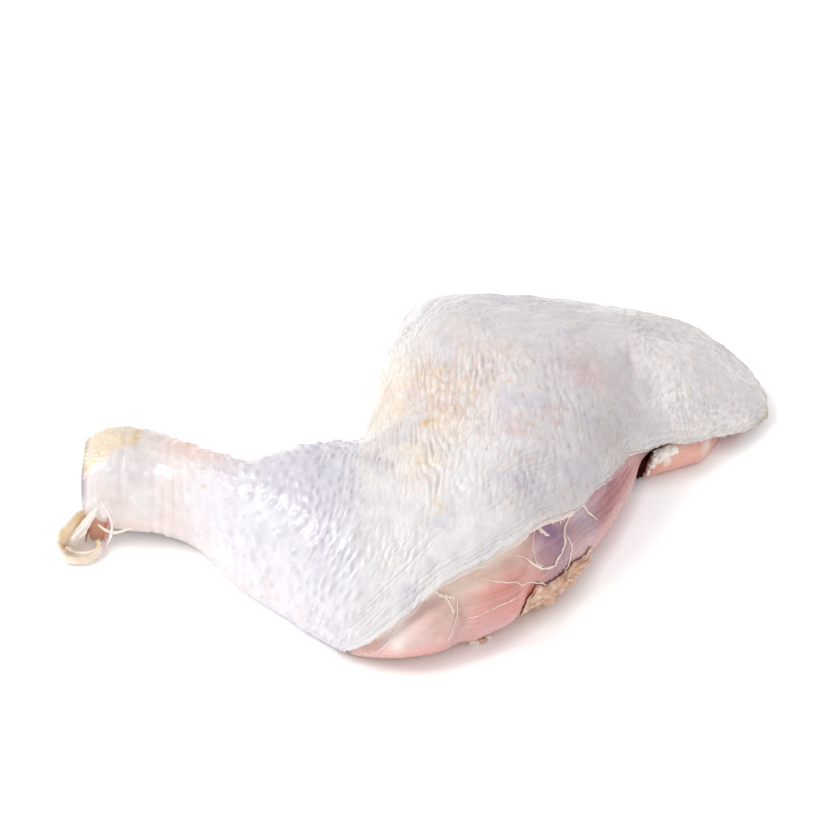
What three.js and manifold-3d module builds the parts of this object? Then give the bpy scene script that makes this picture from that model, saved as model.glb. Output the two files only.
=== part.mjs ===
// A raw chicken leg quarter lying skin side up, drumstick to the left, thigh to the right, knee to the front.
// Millimetres, +Z up, the work surface is z = 0. The leg is one loft: each station is a cross-section between
// a front and a rear edge point, from the cut ankle to the tip of the skin past the hip. The skin is a shell
// on that loft, closed round the drumstick and open under the thigh, and the meat fills it.
import * as THREE from "three";
import { mergeVertices } from "three/addons/utils/BufferGeometryUtils.js";
import Module from "manifold-3d";

const wasm = await Module();
wasm.setup();

// ---- driving dimensions -------------------------------------------------------------------------

const CENTRE = [2.35, 14.85]; // plan point of the loft that becomes the origin
const SKIN_THICKNESS = 1.6;
const SKIN_TO_MEAT_GAP = 0.6;
const PIECE_GAP = 0.4; // between the other pieces
const FLOOR_BLEND = 1.6; // how softly the underside turns into its flat resting patch
const TUBE_END = 5.2; // station where the skin's tube opens under the knee

// front and rear: plan points of the two edges. top, low: heights of the crown and of the underside (below 0
// it is pressed flat). wide: heights of the two edges. skin: where the skin starts and ends, in degrees round
// the section, 0 at the bottom, 90 at the front edge, 180 at the crown, 270 at the rear edge.
const STATIONS = [
  { at: "ankle cut", front: [-97, -4], rear: [-96, 21], top: 27, wide: [14, 14], low: 2, skin: [0, 360] },
  { at: "hock knuckle", front: [-89, -6], rear: [-88, 24], top: 29, wide: [14, 14], low: 0, skin: [0, 360] },
  { at: "shank", front: [-75, -8], rear: [-72, 21], top: 28, wide: [14, 14], low: -1, skin: [0, 360] },
  { at: "lower calf", front: [-64, -12], rear: [-58, 8], top: 32, wide: [15, 15], low: -3, skin: [0, 360] },
  { at: "calf", front: [-51, -28], rear: [-46, 1], top: 37, wide: [15, 16], low: -7, skin: [0, 360] },
  { at: "upper calf", front: [-36, -42], rear: [-32, 9], top: 40, wide: [14, 16], low: -9, skin: [-22, 382] },
  { at: "knee", front: [-17, -57], rear: [-17, 15], top: 40, wide: [12, 18], low: -10, skin: [76, 335] },
  { at: "above knee", front: [5, -57], rear: [-14, 24], top: 40, wide: [11, 18], low: -10, skin: [117, 325] },
  { at: "lower thigh", front: [25, -48], rear: [-12, 41], top: 42, wide: [11, 18], low: -10, skin: [124, 318] },
  { at: "thigh", front: [40, -33], rear: [-8, 58], top: 44, wide: [11, 18], low: -10, skin: [122, 310] },
  { at: "upper thigh", front: [54, -14], rear: [-1, 77], top: 45, wide: [11, 17], low: -9, skin: [111, 298] },
  { at: "hip", front: [64, 4], rear: [20, 86], top: 41, wide: [12, 12], low: -6, skin: [111, 288] },
  { at: "hip joint", front: [75, 22], rear: [47, 88], top: 34, wide: [13, 10], low: -4, skin: [99, 248] },
  { at: "past the joint", front: [83, 27], rear: [68, 87], top: 29, wide: [11, 8], low: -3, skin: [94, 284] },
  { at: "cut end", front: [91, 33], rear: [87, 83], top: 23, wide: [9, 8], low: -3, skin: [92, 256] },
  { at: "skin flap", front: [103, 43], rear: [104, 72], top: 12, wide: [4, 4], low: 0, skin: [92, 268] },
  { at: "skin tip", front: [110, 51], rear: [110, 60], top: 5, wide: [3, 3], low: 1, skin: [92, 268] },
];

// Rises and dips of the upper surface along a line: plan ends, half width, height.
const FOLDS = [
  { at: "thigh bulge", from: [5, 45], to: [35, 30], reach: 24, rise: 3 },
  { at: "crease behind the drumstick", from: [-16, 8], to: [-4, 15], reach: 5, rise: -2.4 },
  { at: "dimple over the hip", from: [68, 28], to: [72, 36], reach: 9, rise: -3 },
  { at: "rise past the dimple", from: [84, 42], to: [90, 50], reach: 10, rise: 1.5 },
];

// Muscles and grooves of the bare front wall: station, angle, their half widths in both, height.
const MUSCLES = [
  { at: "round belly at the knee", s: 6.7, v: 98, wide: 0.6, high: 28, rise: 1.8 },
  { at: "groove after the belly", s: 7.45, v: 95, wide: 0.16, high: 40, rise: -1.6 },
  { at: "red muscle", s: 8.1, v: 100, wide: 0.5, high: 22, rise: 1.4 },
  { at: "recess with the vein", s: 9.0, v: 112, wide: 0.3, high: 12, rise: -2.6 },
  { at: "dip where the fat strip begins", s: 8.6, v: 74, wide: 0.2, high: 26, rise: -2 },
  { at: "long band", s: 10.0, v: 95, wide: 0.7, high: 18, rise: 0.8 },
  { at: "hollow before the lobe", s: 12.1, v: 70, wide: 0.65, high: 55, rise: -6 },
  { at: "hollow behind the lobe", s: 13.6, v: 66, wide: 0.8, high: 50, rise: -6 },
];

// The curled strip of skin left at the ankle: its lower and upper edge, and how far it bows out between them.
const CURL_THICKNESS = 1.3;
const CURL = [
  { low: [-95.3, 3.6, 3.3], high: [-95.5, -3.1, 12], bow: 1.8 },
  { low: [-98.4, 1, 2], high: [-98.4, -4.2, 12.6], bow: 1.8 },
  { low: [-101.4, -4, 1], high: [-101.4, -7.4, 11.6], bow: 1.4 },
  { low: [-103.6, -7.2, 0.7], high: [-104, -9.4, 8.8], bow: 1 },
  { low: [-104, -10.2, 0.7], high: [-104.6, -11, 6], bow: 0.6 },
  { low: [-102, -12.8, 0.7], high: [-102.3, -13.2, 3.6], bow: 0.2 },
  { low: [-98, -13.7, 0.7], high: [-98, -13.8, 2.8], bow: 0 },
  { low: [-94.4, -12.2, 0.7], high: [-94.3, -12.3, 2.8], bow: 0 },
  { low: [-92.2, -9.2, 0.7], high: [-92.1, -9.2, 3.2], bow: 0 },
  { low: [-93.4, -6.6, 0.7], high: [-93.4, -6.6, 3.8], bow: 0 },
];

// The lobe of meat that shows below the right-hand edge of the skin: front and rear plan points, height.
const LOBE = [
  { front: [70.2, 25], rear: [71, 27.5], top: 4 },
  { front: [72.4, 24], rear: [75, 33], top: 10 },
  { front: [77, 25.6], rear: [81, 37], top: 12.5 },
  { front: [82.4, 28], rear: [86, 40], top: 10.8 },
  { front: [87.3, 30.6], rear: [91, 43], top: 7.6 },
  { front: [90.6, 35], rear: [94, 45], top: 4.6 },
  { front: [92.6, 38.8], rear: [94.4, 42.4], top: 2.4 },
];

// The strip of fat along the foot of the bare wall, and the cut bone ends of the hip in the rear cut.
const FAT_STRIP = { from: 8.45, to: 9.75, low: 62, high: 92, thick: 2.4 };
const BONE_ENDS = [
  { at: [51.5, 84, 7], radii: [5, 5, 4.8] },
  { at: [42, 83.5, 10], radii: [4.6, 5, 5.4] },
  { at: [47, 83.4, 8.4], radii: [5, 5, 3.8] },
];
const KNUCKLE = { inner: 1.06, outer: 0.3, dome: 4.6, groove: 2.2 };

// ---- the loft ------------------------------------------------------------------------------------

const RAD = Math.PI / 180;
const LAST = STATIONS.length - 1;
const clamp = (x, low, high) => Math.min(high, Math.max(low, x));
const mix = (a, b, t) => a + (b - a) * t;
const smoothstep = (from, to, x) => {
  const t = clamp((x - from) / (to - from), 0, 1);
  return t * t * (3 - 2 * t);
};
const signedPower = (x, power) => Math.sign(x) * Math.abs(x) ** power;

// A uniform Catmull-Rom value through the rows of a table, read at row number s.
function through(rows, read, s) {
  const last = rows.length - 1;
  const i = clamp(Math.floor(s), 0, last - 1);
  const t = s - i;
  const b = read(rows[i]);
  const c = read(rows[i + 1]);
  const a = i > 0 ? read(rows[i - 1]) : 2 * b - c;
  const d = i < last - 1 ? read(rows[i + 2]) : 2 * c - b;
  return 0.5 * (2 * b + (c - a) * t + (2 * a - 5 * b + 4 * c - d) * t * t + (3 * b - 3 * c + d - a) * t ** 3);
}

const along = (read, s) => through(STATIONS, read, s);

function foldsAt(x, y) {
  let z = 0;
  for (const { from, to, reach, rise } of FOLDS) {
    const dx = to[0] - from[0];
    const dy = to[1] - from[1];
    const t = clamp(((x - from[0]) * dx + (y - from[1]) * dy) / (dx * dx + dy * dy), 0, 1);
    const distance = Math.hypot(x - from[0] - dx * t, y - from[1] - dy * t);
    z += rise * Math.exp(-((distance / reach) ** 2));
  }
  return z;
}

// Presses what is below the work surface flat against it.
function pressed(z) {
  if (z >= FLOOR_BLEND) return z;
  return z <= -FLOOR_BLEND ? 0 : (z + FLOOR_BLEND) ** 2 / (4 * FLOOR_BLEND);
}

// The leg's outer surface at station number s and angle v (degrees, 0 at the bottom, 90 at the front edge).
function surface(s, v) {
  const top = along((k) => k.top, s);
  const low = along((k) => k.low, s);
  const across = (1 + signedPower(-Math.sin(v * RAD), 0.9)) / 2;
  const lift = -Math.cos(v * RAD);
  const wide = mix(along((k) => k.wide[0], s), along((k) => k.wide[1], s), across);
  const x = mix(along((k) => k.front[0], s), along((k) => k.rear[0], s), across);
  const y = mix(along((k) => k.front[1], s), along((k) => k.rear[1], s), across);
  const z = wide + (lift > 0 ? top - wide : wide - low) * lift + foldsAt(x, y) * smoothstep(0, 0.7, lift);
  return new THREE.Vector3(x, y, pressed(z));
}

function normal(s, v) {
  const ds = 0.02;
  const dv = 1;
  const a = surface(Math.min(LAST, s + ds), v).sub(surface(Math.max(0, s - ds), v));
  const b = surface(s, v + dv).sub(surface(s, v - dv));
  return a.cross(b).normalize();
}

// The point that lies this deep below the outer surface. The flat resting patch stays flat.
function inset(s, v, depth) {
  const p = surface(s, v);
  const resting = p.z < 1e-9;
  p.addScaledVector(normal(s, v), -depth);
  return resting ? new THREE.Vector3(p.x, p.y, Math.max(0, depth)) : p;
}

// The angles where the skin starts and ends at station number s.
const skinFront = (s) => (s < TUBE_END ? 0 : clamp(along((k) => k.skin[0], s), 0, 180));
const skinRear = (s) => (s < TUBE_END ? 360 : clamp(along((k) => k.skin[1], s), 180, 360));

// ---- meshes and solids -----------------------------------------------------------------------------

// A closed mesh from points and triangles, with equal points merged and empty triangles dropped.
function geometryFrom(points, faces) {
  const geometry = new THREE.BufferGeometry();
  const numbers = points.flatMap((p) => [p.x, p.y, p.z]);
  geometry.setAttribute("position", new THREE.Float32BufferAttribute(numbers, 3));
  geometry.setIndex(faces.flat());
  const merged = mergeVertices(geometry, 1e-4);
  const index = merged.index.array;
  const kept = [];
  for (let i = 0; i < index.length; i += 3) {
    const [a, b, c] = [index[i], index[i + 1], index[i + 2]];
    if (a !== b && b !== c && c !== a) kept.push(a, b, c);
  }
  merged.setIndex(kept);
  merged.computeVertexNormals();
  return merged;
}

// Two triangles, split along the shorter diagonal.
function quad(points, a, b, c, d) {
  const across = points[a].distanceTo(points[c]) <= points[b].distanceTo(points[d]);
  return across ? [[a, b, c], [a, c, d]] : [[a, b, d], [b, c, d]];
}

// A closed tube from rings of equal length, with a fan over each end.
function tubeFrom(rings) {
  const points = rings.flat();
  const faces = [];
  const n = rings[0].length;
  const at = (i, j) => i * n + (j % n);
  for (let i = 0; i < rings.length - 1; i++) {
    for (let j = 0; j < n; j++) {
      faces.push(...quad(points, at(i, j), at(i + 1, j), at(i + 1, j + 1), at(i, j + 1)));
    }
  }
  for (const i of [0, rings.length - 1]) {
    const centre = rings[i].reduce((sum, p) => sum.add(p), new THREE.Vector3()).divideScalar(n);
    points.push(centre);
    const c = points.length - 1;
    for (let j = 0; j < n; j++) {
      faces.push(i === 0 ? [c, at(i, j), at(i, j + 1)] : [c, at(i, j + 1), at(i, j)]);
    }
  }
  return geometryFrom(points, faces);
}

function solidOf(geometry) {
  const bare = geometry.clone();
  for (const name of ["normal", "uv"]) bare.deleteAttribute(name);
  const merged = mergeVertices(bare, 1e-4);
  const mesh = new wasm.Mesh({
    numProp: 3,
    vertProperties: merged.attributes.position.array,
    triVerts: new Uint32Array(merged.index.array),
  });
  return new wasm.Manifold(mesh);
}

function geometryOf(solid) {
  const mesh = solid.getMesh();
  const geometry = new THREE.BufferGeometry();
  geometry.setAttribute("position", new THREE.BufferAttribute(new Float32Array(mesh.vertProperties), 3));
  geometry.setIndex(new THREE.BufferAttribute(new Uint32Array(mesh.triVerts), 1));
  geometry.computeVertexNormals();
  return geometry;
}

// ---- skin ------------------------------------------------------------------------------------------

const ROWS = 54; // sections along the leg, shared by the skin and the meat
const COVERED = 28; // columns under the skin
const EXPOSED = 12; // columns of bare meat
const stationOf = (row) => (row / ROWS) * LAST;

function skinShell() {
  const points = [];
  const faces = [];
  const width = COVERED + 1;
  for (const depth of [0, SKIN_THICKNESS]) {
    for (let i = 0; i <= ROWS; i++) {
      const s = stationOf(i);
      for (let j = 0; j <= COVERED; j++) {
        const v = mix(skinFront(s), skinRear(s), j / COVERED);
        points.push(inset(s, v, depth));
      }
    }
  }
  const outer = (i, j) => i * width + j;
  const inner = (i, j) => outer(i, j) + (ROWS + 1) * width;
  const closed = (i) => skinRear(stationOf(i)) - skinFront(stationOf(i)) === 360;
  for (let i = 0; i < ROWS; i++) {
    for (let j = 0; j < COVERED; j++) {
      faces.push(...quad(points, outer(i, j), outer(i + 1, j), outer(i + 1, j + 1), outer(i, j + 1)));
      faces.push(...quad(points, inner(i, j), inner(i, j + 1), inner(i + 1, j + 1), inner(i + 1, j)));
    }
    if (!closed(i) || !closed(i + 1)) {
      const j = COVERED;
      faces.push(...quad(points, outer(i, 0), inner(i, 0), inner(i + 1, 0), outer(i + 1, 0)));
      faces.push(...quad(points, outer(i, j), outer(i + 1, j), inner(i + 1, j), inner(i, j)));
    }
  }
  for (let j = 0; j < COVERED; j++) {
    faces.push(...quad(points, outer(0, j), outer(0, j + 1), inner(0, j + 1), inner(0, j)));
    faces.push(...quad(points, outer(ROWS, j), inner(ROWS, j), inner(ROWS, j + 1), outer(ROWS, j + 1)));
  }
  return geometryFrom(points, faces);
}

// The curled strip: rings of eight points round its section, lower edge to upper edge and back.
function curl() {
  const STEPS = 27;
  const rings = [];
  const place = (s, h) => {
    const at = (read) => through(CURL, read, s);
    const low = new THREE.Vector3(...[0, 1, 2].map((k) => at((row) => row.low[k])));
    const high = new THREE.Vector3(...[0, 1, 2].map((k) => at((row) => row.high[k])));
    return low.lerp(high, h);
  };
  for (let i = 0; i <= STEPS; i++) {
    const s = (i / STEPS) * (CURL.length - 1);
    const ahead = place(Math.min(s + 0.1, CURL.length - 1), 0.5).sub(place(Math.max(s - 0.1, 0), 0.5));
    const side = ahead.cross(place(s, 1).sub(place(s, 0))).normalize();
    const bow = through(CURL, (row) => row.bow, s);
    const point = (h, out) => place(s, h).addScaledVector(side, -4 * bow * h * (1 - h) + out);
    const half = CURL_THICKNESS / 2;
    const up = [0, 0.33, 0.67, 1].map((h) => point(h, half));
    const down = [1, 0.67, 0.33, 0].map((h) => point(h, -half));
    rings.push([...up, ...down]);
  }
  return tubeFrom(rings);
}

const skin = () => geometryOf(solidOf(skinShell()).add(solidOf(curl())));

// ---- meat and bones ----------------------------------------------------------------------------------

const MEAT_FIRST = 4; // first and last row of the meat
const MEAT_LAST = 50;
const EDGE_BLEND = [5, 17]; // degrees from the skin's edge over which bare meat rises flush with the skin

// How far the muscles stand out of the bare wall. What stands out keeps clear of the work surface.
function musclesAt(s, v) {
  const clear = smoothstep(1, 6, surface(s, v).z);
  let total = 0;
  for (const { s: centre, v: angle, wide, high, rise } of MUSCLES) {
    const share = Math.exp(-(((s - centre) / wide) ** 2) - ((v - angle) / high) ** 2);
    total += share * (rise > 0 ? rise * clear : rise);
  }
  return total;
}

// How deep the meat lies below the leg's outer surface.
function meatDepth(s, v) {
  const covered = SKIN_THICKNESS + SKIN_TO_MEAT_GAP;
  const turned = v > 360 ? v - 360 : v;
  const bare = smoothstep(...EDGE_BLEND, Math.min(v - skinRear(s), skinFront(s) + 360 - v));
  return v <= skinRear(s) ? covered : covered * (1 - bare) - musclesAt(s, turned) * bare;
}

function meatBody() {
  const rings = [];
  for (let i = MEAT_FIRST; i <= MEAT_LAST; i++) {
    const s = stationOf(i);
    const [front, rear] = [skinFront(s), skinRear(s)];
    const ring = [];
    for (let j = 0; j < COVERED; j++) ring.push(mix(front, rear, j / COVERED));
    for (let j = 0; j < EXPOSED; j++) ring.push(mix(rear, front + 360, j / EXPOSED));
    rings.push(ring.map((v) => inset(s, v, meatDepth(s, v))));
  }
  return tubeFrom(rings);
}

// The two glossy bone ends of the cut hip, on a common neck.
function boneEnds(grow) {
  const parts = BONE_ENDS.map(({ at, radii }) => {
    const ball = new THREE.SphereGeometry(1, 16, 9);
    ball.scale(...radii.map((r) => r + grow));
    return solidOf(ball.translate(...at));
  });
  return parts.reduce((joined, part) => joined.add(part));
}

// The lobe: rings of rounded boxes that stand on the work surface.
function lobe(grow) {
  const STEPS = 15;
  const SIDES = 14;
  const rings = [];
  for (let i = 0; i <= STEPS; i++) {
    const s = (i / STEPS) * (LOBE.length - 1);
    const read = (value) => through(LOBE, value, s);
    const front = new THREE.Vector3(read((k) => k.front[0]), read((k) => k.front[1]), 0);
    const rear = new THREE.Vector3(read((k) => k.rear[0]), read((k) => k.rear[1]), 0);
    const centre = front.clone().lerp(rear, 0.5);
    const half = rear.clone().sub(front).multiplyScalar(0.5);
    half.setLength(half.length() + grow);
    const height = read((k) => k.top) / 2;
    const ring = [];
    for (let j = 0; j < SIDES; j++) {
      const a = (-j / SIDES) * 360 * RAD;
      const p = centre.clone().addScaledVector(half, signedPower(Math.cos(a), 0.75));
      ring.push(p.setZ(height + (height + grow) * signedPower(Math.sin(a), 0.75)));
    }
    rings.push(ring);
  }
  return tubeFrom(rings);
}

const meat = () =>
  geometryOf(solidOf(meatBody()).subtract(boneEnds(PIECE_GAP)).subtract(solidOf(lobe(PIECE_GAP))));

// A lumpy lens of fat that follows the foot of the bare wall.
function fatStrip() {
  const LONG = 15;
  const HIGH = 5;
  const { from, to, low, high, thick } = FAT_STRIP;
  const points = [];
  const faces = [];
  for (const side of [1, 0]) {
    for (let i = 0; i <= LONG; i++) {
      for (let j = 0; j <= HIGH; j++) {
        const [s, v] = [mix(from, to, i / LONG), mix(low, high, j / HIGH)];
        const swell = (Math.sin((i / LONG) * Math.PI) * Math.sin((j / HIGH) * Math.PI)) ** 0.6;
        const lumps = 1 + 0.3 * Math.sin(i * 2.3 + j);
        const p = inset(s, v, meatDepth(s, v + 360) - PIECE_GAP - side * thick * swell * lumps);
        points.push(p.setZ(Math.max(p.z, 0.3)));
      }
    }
  }
  const outer = (i, j) => i * (HIGH + 1) + j;
  const inner = (i, j) => outer(i, j) + (LONG + 1) * (HIGH + 1);
  for (let i = 0; i < LONG; i++) {
    for (let j = 0; j < HIGH; j++) {
      faces.push(...quad(points, outer(i, j), outer(i + 1, j), outer(i + 1, j + 1), outer(i, j + 1)));
      faces.push(...quad(points, inner(i, j), inner(i, j + 1), inner(i + 1, j + 1), inner(i + 1, j)));
    }
  }
  return geometryFrom(points, faces);
}

// The end of the shank bone in the mouth of the skin's tube: a plug whose face has two rounded heads.
function ankleKnuckle() {
  const SIDES = 24;
  const RINGS = 7;
  const depth = SKIN_THICKNESS + SKIN_TO_MEAT_GAP;
  const { inner, outer, dome, groove } = KNUCKLE;
  const ringAt = (s) => Array.from({ length: SIDES }, (_, j) => inset(s, (360 * j) / SIDES, depth));
  const middle = (ring) => ring.reduce((sum, p) => sum.add(p), new THREE.Vector3()).divideScalar(SIDES);
  const mouth = ringAt(outer);
  const centre = middle(mouth);
  const outward = centre.clone().sub(middle(ringAt(inner))).setZ(0).normalize();
  const across = new THREE.Vector3(-outward.y, outward.x, 0);
  const half = Math.max(...mouth.map((p) => Math.abs(p.clone().sub(centre).dot(across))));
  const rings = [];
  for (let i = RINGS; i >= 1; i--) {
    const turn = ((RINGS - i) / RINGS) * 90 * RAD;
    rings.push(
      mouth.map((p) => {
        const q = centre.clone().lerp(p, Math.cos(turn));
        const sideways = q.clone().sub(centre).dot(across) / half;
        const dip = groove * Math.sin(turn) * Math.exp(-((sideways / 0.22) ** 2));
        return q.addScaledVector(outward, dome * Math.sin(turn) - dip);
      }),
    );
  }
  rings.reverse();
  for (const t of [0.35, 0.7, 1]) rings.push(ringAt(mix(outer, inner, t)));
  return tubeFrom(rings);
}

// ---- materials and assembly --------------------------------------------------------------------------

const material = (color, roughness) => new THREE.MeshStandardMaterial({ color, roughness, metalness: 0 });
const SKIN = material("#efe6e0", 0.38);
const MEAT = material("#d99a90", 0.35);
const FAT = material("#ead2ae", 0.4);
const CARTILAGE = material("#d5c6d2", 0.25);
const BONE_END = material("#d9aa9a", 0.25);

const leg = new THREE.Group();
leg.position.set(-CENTRE[0], -CENTRE[1], 0);
const add = (name, geometry, finish) => {
  const mesh = new THREE.Mesh(geometry, finish);
  mesh.name = name;
  leg.add(mesh);
};
add("skin", skin(), SKIN);
add("meat", meat(), MEAT);
add("hip_lobe", lobe(0), MEAT);
add("fat_strip", fatStrip(), FAT);
add("ankle_knuckle", ankleKnuckle(), CARTILAGE);
add("hip_bone_ends", geometryOf(boneEnds(0)), BONE_END);

export default leg;
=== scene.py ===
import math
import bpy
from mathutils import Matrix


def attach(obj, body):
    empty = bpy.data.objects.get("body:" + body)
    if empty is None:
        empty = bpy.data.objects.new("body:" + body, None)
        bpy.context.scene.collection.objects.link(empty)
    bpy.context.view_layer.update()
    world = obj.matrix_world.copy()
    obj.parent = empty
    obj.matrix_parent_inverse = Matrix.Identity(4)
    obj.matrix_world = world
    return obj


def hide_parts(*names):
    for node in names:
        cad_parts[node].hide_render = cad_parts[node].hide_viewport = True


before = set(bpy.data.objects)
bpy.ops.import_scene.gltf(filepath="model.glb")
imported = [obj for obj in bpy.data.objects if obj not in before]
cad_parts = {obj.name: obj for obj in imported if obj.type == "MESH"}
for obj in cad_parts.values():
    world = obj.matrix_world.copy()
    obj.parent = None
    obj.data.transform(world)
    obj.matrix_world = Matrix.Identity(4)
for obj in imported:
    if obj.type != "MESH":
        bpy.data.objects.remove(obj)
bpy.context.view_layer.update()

# Looks of a raw chicken leg quarter that lies skin side up, drumstick to the left, thigh to the right. The
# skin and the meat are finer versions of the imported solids: the same loft, with wrinkles, follicles and
# fibres on it. Lengths are millimetres in the loft's own plan; mesh_from() turns them into metres.
from types import SimpleNamespace

import bpy
import numpy as np
from mathutils import Vector

MM = 0.001
CENTRE = np.array([2.35, 14.85, 0.0])  # plan point of the loft that is the frame's origin

# ---- the loft's driving dimensions ----

SKIN_THICKNESS = 1.6
SKIN_TO_MEAT_GAP = 0.6
MEAT_DEPTH = SKIN_THICKNESS + SKIN_TO_MEAT_GAP
FLOOR_BLEND = 1.6
TUBE_END = 5.2
SECTION_POWER = 0.9  # makes the sections' sides blunter than an ellipse's
BARE_FADE = (5, 17)  # degrees from the skin's edge over which the meat rises to its bare level

# One row a station, from the cut ankle to the tip of the skin past the hip:
# front x, y, rear x, y, height of the crown, of the front and the rear edge, of the underside, skin from, to.
STATIONS = np.array([
    [-97, -4, -96, 21, 27, 14, 14, 2, 0, 360],  # 0 ankle cut
    [-89, -6, -88, 24, 29, 14, 14, 0, 0, 360],  # 1 hock knuckle
    [-75, -8, -72, 21, 28, 14, 14, -1, 0, 360],  # 2 shank
    [-64, -12, -58, 8, 32, 15, 15, -3, 0, 360],  # 3 lower calf
    [-51, -28, -46, 1, 37, 15, 16, -7, 0, 360],  # 4 calf
    [-36, -42, -32, 9, 40, 14, 16, -9, -22, 382],  # 5 upper calf
    [-17, -57, -17, 15, 40, 12, 18, -10, 76, 335],  # 6 knee
    [5, -57, -14, 24, 40, 11, 18, -10, 117, 325],  # 7 above knee
    [25, -48, -12, 41, 42, 11, 18, -10, 124, 318],  # 8 lower thigh
    [40, -33, -8, 58, 44, 11, 18, -10, 122, 310],  # 9 thigh
    [54, -14, -1, 77, 45, 11, 17, -9, 111, 298],  # 10 upper thigh
    [64, 4, 20, 86, 41, 12, 12, -6, 111, 288],  # 11 hip
    [75, 22, 47, 88, 34, 13, 10, -4, 99, 248],  # 12 hip joint
    [83, 27, 68, 87, 29, 11, 8, -3, 94, 284],  # 13 past the joint
    [91, 33, 87, 83, 23, 9, 8, -3, 92, 256],  # 14 cut end
    [103, 43, 104, 72, 12, 4, 4, 0, 92, 268],  # 15 skin flap
    [110, 51, 110, 60, 5, 3, 3, 1, 92, 268],  # 16 skin tip
], float)
LAST = len(STATIONS) - 1
FRONT_EDGE, REAR_EDGE = 8, 9  # columns with the angles from and to which the skin goes

# Folds of the upper surface: plan ends, half width, rise.
FOLDS = [
    ((5, 45), (35, 30), 24, 3),
    ((-16, 8), (-4, 15), 5, -2.4),
    ((68, 28), (72, 36), 9, -3),
    ((84, 42), (90, 50), 10, 1.5),
]

# Muscles of the bare wall: station, angle, half widths in both, rise.
MUSCLES = [
    (6.7, 98, 0.6, 28, 1.8),
    (7.45, 95, 0.16, 40, -1.6),
    (8.1, 100, 0.5, 22, 1.4),
    (9, 112, 0.3, 12, -2.6),
    (8.6, 74, 0.2, 26, -2),
    (10, 95, 0.7, 18, 0.8),
    (12.1, 70, 0.65, 55, -6),
    (13.6, 66, 0.8, 50, -6),
]


def ramp(low, high, x):
    """0 below low, 1 above high, and smooth between."""
    t = np.clip((x - low) / (high - low), 0, 1)
    return t * t * (3 - 2 * t)


def mix(a, b, t):
    return a + (b - a) * t


def fade(away, reach):
    """1 at no distance, fading to 0 past the reach."""
    return np.exp(-((away / reach) ** 2))


def plane(*axes):
    return np.stack(np.broadcast_arrays(*axes), -1)


def near(p, at, reach):
    """1 at a place, fading to 0 past its reach, in as many coordinates as the place has."""
    away = (p[..., : len(at)] - np.array(at, float)) / np.array(reach, float)
    return np.exp(-(away**2).sum(-1))


def signed_power(x, power):
    return np.sign(x) * np.abs(x) ** power


def unit(vectors):
    return vectors / (np.linalg.norm(vectors, axis=-1, keepdims=True) + 1e-12)


def through(rows, s):
    """Uniform Catmull-Rom through the rows of a table, read at the row numbers s."""
    rows = np.asarray(rows, float)
    s = np.asarray(s, float)
    padded = np.vstack([2 * rows[0] - rows[1], rows, 2 * rows[-1] - rows[-2]])
    i = np.clip(np.floor(s).astype(int), 0, len(rows) - 2)
    t = (s - i)[..., None]
    a, b, c, d = (padded[i + k] for k in range(4))
    return 0.5 * (2 * b + (c - a) * t + (2 * a - 5 * b + 4 * c - d) * t**2 + (3 * b - 3 * c + d - a) * t**3)


def folds_at(x, y):
    z = np.zeros_like(x)
    for start, end, reach, rise in FOLDS:
        dx, dy = end[0] - start[0], end[1] - start[1]
        t = np.clip(((x - start[0]) * dx + (y - start[1]) * dy) / (dx * dx + dy * dy), 0, 1)
        z += rise * fade(np.hypot(x - start[0] - dx * t, y - start[1] - dy * t), reach)
    return z


def pressed(z):
    """What is below the work surface is pressed flat against it."""
    blend = (np.clip(z, -FLOOR_BLEND, FLOOR_BLEND) + FLOOR_BLEND) ** 2 / (4 * FLOOR_BLEND)
    return np.where(z >= FLOOR_BLEND, z, blend)


def surface(s, v):
    """The leg's outer surface at station s and angle v: 0 at the bottom, 90 front, 180 crown, 270 rear."""
    s, v = np.broadcast_arrays(np.asarray(s, float), np.asarray(v, float))
    columns = np.moveaxis(through(STATIONS, s), -1, 0)[:FRONT_EDGE]
    front_x, front_y, rear_x, rear_y, top, wide_front, wide_rear, low = columns
    across = (1 + signed_power(-np.sin(np.radians(v)), SECTION_POWER)) / 2
    lift = -np.cos(np.radians(v))
    wide = mix(wide_front, wide_rear, across)
    x = mix(front_x, rear_x, across)
    y = mix(front_y, rear_y, across)
    z = wide + np.where(lift > 0, top - wide, wide - low) * lift + folds_at(x, y) * ramp(0, 0.7, lift)
    return plane(x, y, pressed(z))


def normal(s, v):
    ahead = surface(np.minimum(LAST, s + 0.02), v) - surface(np.maximum(0, s - 0.02), v)
    return unit(np.cross(ahead, surface(s, v + 1) - surface(s, v - 1)))


def inset(s, v, depth):
    """The point this deep below the outer surface. The flat resting patch stays flat."""
    p = surface(s, v)
    resting = p[..., 2] < 1e-9
    inner = p - normal(s, v) * np.asarray(depth)[..., None]
    flat = np.concatenate([p[..., :2], np.maximum(0, np.broadcast_to(depth, resting.shape))[..., None]], -1)
    return np.where(resting[..., None], flat, inner)


def skin_front(s):
    return np.where(s < TUBE_END, 0, np.clip(through(STATIONS, s)[..., FRONT_EDGE], 0, 180))


def skin_rear(s):
    return np.where(s < TUBE_END, 360, np.clip(through(STATIONS, s)[..., REAR_EDGE], 180, 360))


def muscles_at(s, v):
    clear = ramp(1, 6, surface(s, v)[..., 2])
    total = np.zeros(np.shape(s))
    for centre, angle, wide, high, rise in MUSCLES:
        share = near(plane(s, v), (centre, angle), (wide, high))
        total = total + share * (rise * clear if rise > 0 else rise)
    return total


def meat_depth(s, v):
    """How deep the meat lies: under the skin where that covers it, flush with it where it is bare."""
    bare = ramp(*BARE_FADE, np.minimum(v - skin_rear(s), skin_front(s) + 360 - v))
    shown = MEAT_DEPTH * (1 - bare) - muscles_at(s, np.where(v > 360, v - 360, v)) * bare
    return np.where(v <= skin_rear(s), MEAT_DEPTH, shown)


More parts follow.
